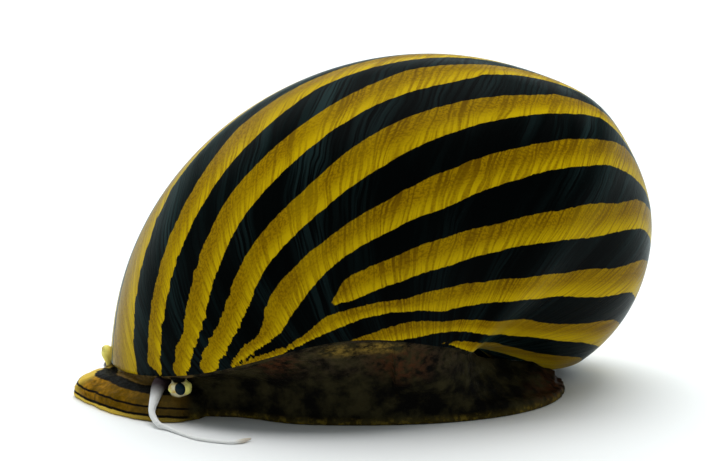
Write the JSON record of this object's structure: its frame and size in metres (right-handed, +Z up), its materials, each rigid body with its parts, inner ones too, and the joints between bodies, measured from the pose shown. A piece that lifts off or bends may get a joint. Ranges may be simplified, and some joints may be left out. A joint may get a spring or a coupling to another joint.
{
  "type": "nerite snail",
  "caption": "Life-size still model of a crawling nerite snail: striped half-globe shell over a low flat foot, head turned aside, feelers out.",
  "frame": {"origin": "on the flat sole, below the shell, slightly ahead of the middle of the foot", "axes": "+X to the snail's tail, so it faces -X; -Y to the snail's left; +Z up from the floor"},
  "size_m": [0.0268, 0.0201, 0.016],
  "materials": {
    "shell": "smooth and glossy, golden yellow bands on black, with fine growth lines",
    "flesh": "moist and satin, dark olive to black, mottled",
    "flap": "moist and satin, orange brown with thin black bands",
    "feeler": "moist, dark at the root and fading to milky white",
    "eye_stalk": "moist, pale yellow",
    "eye": "black and glossy",
    "operculum": "horny, satin, red brown"
  },
  "bodies": {
    "root": {"shell": "shell", "mantle": "flesh", "foot_front": "flesh", "foot_middle": "flesh", "foot_tail": "flesh", "opercular_lobe": "flesh", "operculum": "operculum", "head": "flesh", "head_flap": "flap", "feeler_left_base": "feeler", "feeler_left_middle": "feeler", "feeler_left_tip": "feeler", "feeler_right_base": "feeler", "feeler_right_middle": "feeler", "feeler_right_tip": "feeler", "eye_stalk_left": "eye_stalk", "eye_stalk_right": "eye_stalk", "eye_left": "eye", "eye_right": "eye"}
  },
  "joints": []
}
